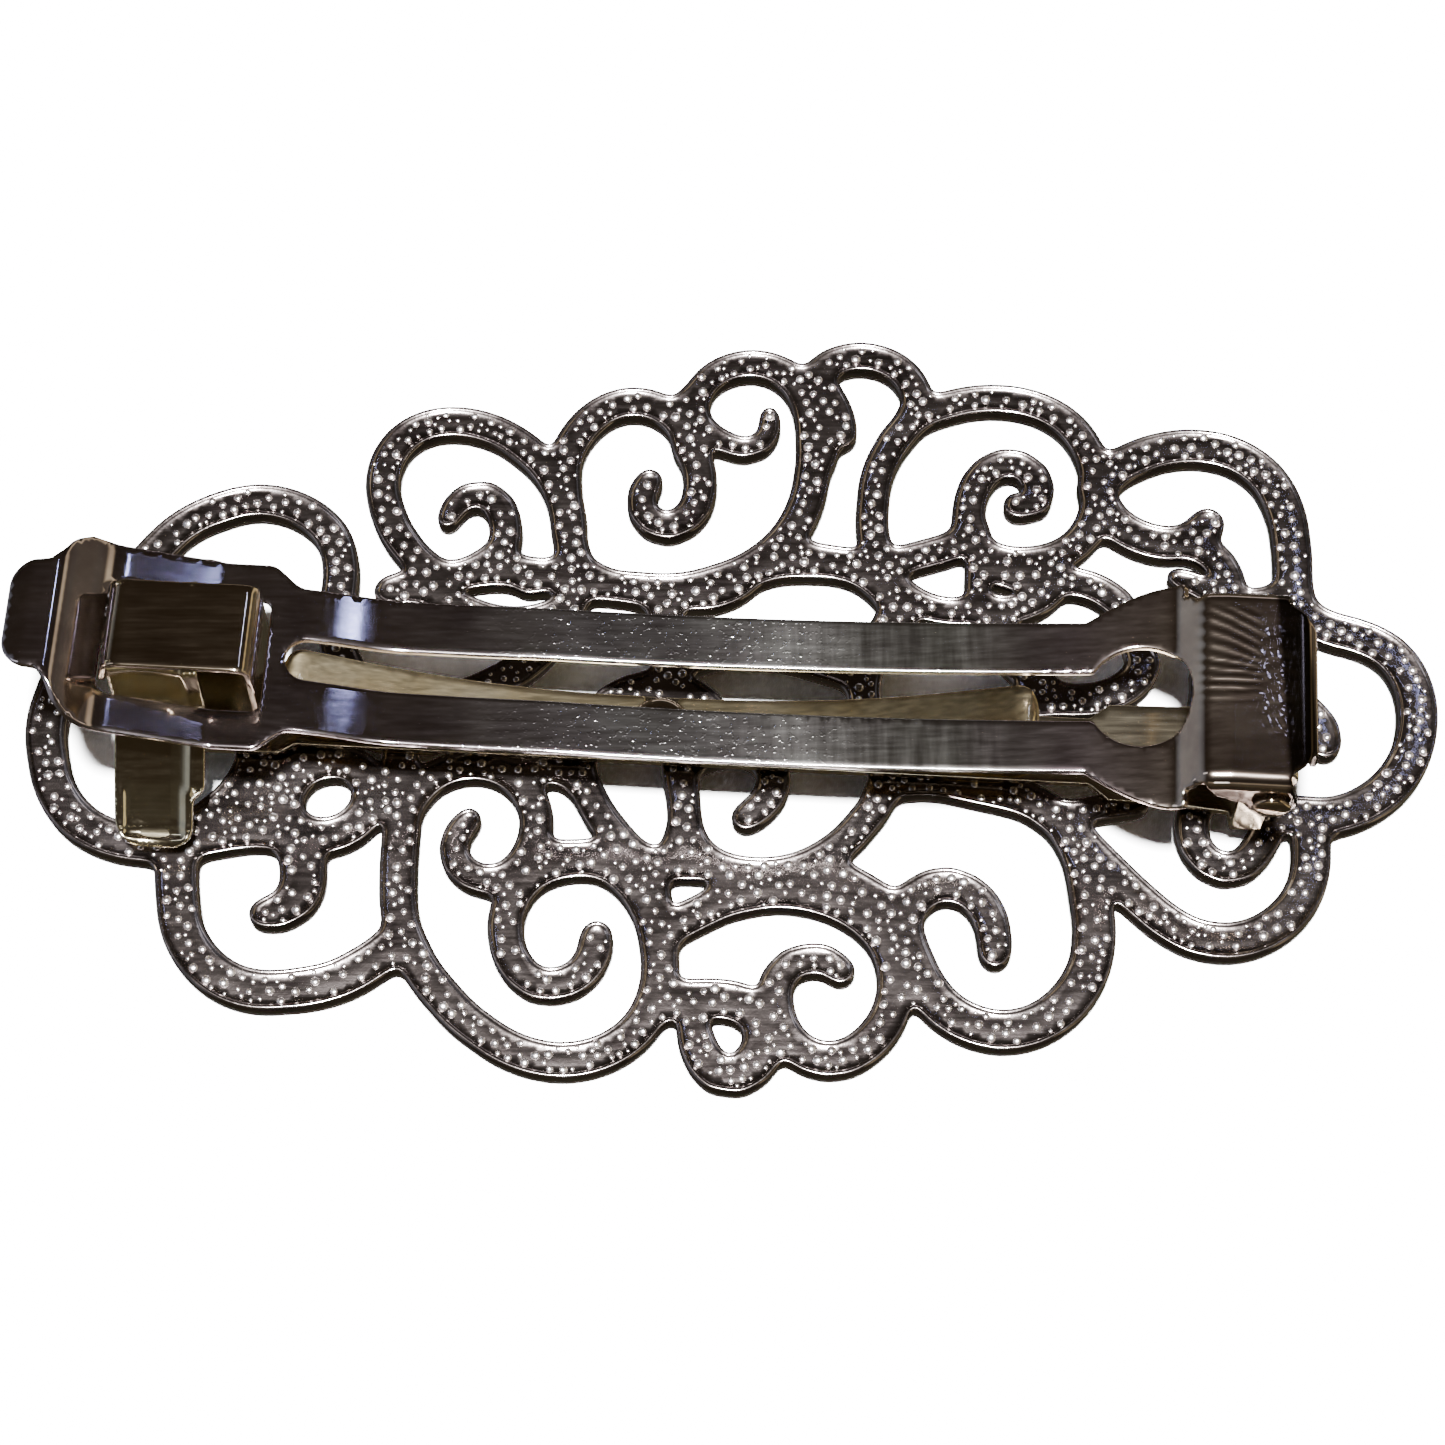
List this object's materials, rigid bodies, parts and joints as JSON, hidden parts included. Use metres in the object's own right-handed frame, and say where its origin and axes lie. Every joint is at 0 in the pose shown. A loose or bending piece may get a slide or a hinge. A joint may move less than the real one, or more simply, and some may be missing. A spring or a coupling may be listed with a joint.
{
  "type": "hair clip",
  "caption": "Automatic hair clip: a pierced scroll-work metal plate with a hinged clasp arm, a bow spring and a squeeze-release latch on its back",
  "frame": {"origin": "the middle of the plate's flat front face, which is its lowest face as stored", "axes": "+X along the clip towards the hinge, +Y across it, +Z from the plate's front to the clasp"},
  "size_m": [0.0866, 0.0514, 0.014],
  "materials": {
    "cast_plate": "cast alloy with bright rhodium-tone plating, beaded all over its back",
    "clasp_steel": "pressed sheet steel with mirror plating, lightly scratched",
    "golden_steel": "sprung sheet steel with a warm golden tint"
  },
  "bodies": {
    "root": {"filigree_plate": "cast_plate", "solder_pad_latch_end": "golden_steel", "solder_pad_hinge_end": "golden_steel", "base_strip": "clasp_steel", "latch_bridge": "clasp_steel", "hinge_pin": "clasp_steel", "spring_rivet": "clasp_steel"},
    "clasp_arm": {"clasp_arm": "clasp_steel"},
    "latch_wing_front": {"latch_wing_front": "golden_steel"},
    "latch_wing_rear": {"latch_wing_rear": "golden_steel"},
    "spring_leaf_latch_side": {"spring_leaf_latch_side": "golden_steel"},
    "spring_leaf_hinge_side": {"spring_leaf_hinge_side": "golden_steel"}
  },
  "joints": [
    {"name": "arm_hinge", "type": "hinge", "parent": "root", "child": "clasp_arm", "pos_m": [0.03155, -0.00346, 0.0098], "axis": [0.0558, 0.9984, 0], "range_deg": [0, 95]},
    {"name": "wing_front_squeeze", "type": "hinge", "parent": "root", "child": "latch_wing_front", "pos_m": [-0.03437, -0.00283, 0.0131], "axis": [0.9984, -0.0558, 0], "range_deg": [0, 5], "stiffness_Nm_per_rad": 0.05},
    {"name": "wing_rear_squeeze", "type": "hinge", "parent": "root", "child": "latch_wing_rear", "pos_m": [-0.03403, 0.00326, 0.0131], "axis": [-0.9984, 0.0558, 0], "range_deg": [0, 5], "stiffness_Nm_per_rad": 0.05},
    {"name": "spring_latch_side_flex", "type": "hinge", "parent": "root", "child": "spring_leaf_latch_side", "pos_m": [-0.00549, -0.00139, 0.00285], "axis": [-0.0558, -0.9984, 0], "range_deg": [0, 3.5], "stiffness_Nm_per_rad": 0.05},
    {"name": "spring_hinge_side_flex", "type": "hinge", "parent": "root", "child": "spring_leaf_hinge_side", "pos_m": [-0.00349, -0.00151, 0.00285], "axis": [0.0558, 0.9984, 0], "range_deg": [0, 3.5], "stiffness_Nm_per_rad": 0.05}
  ]
}
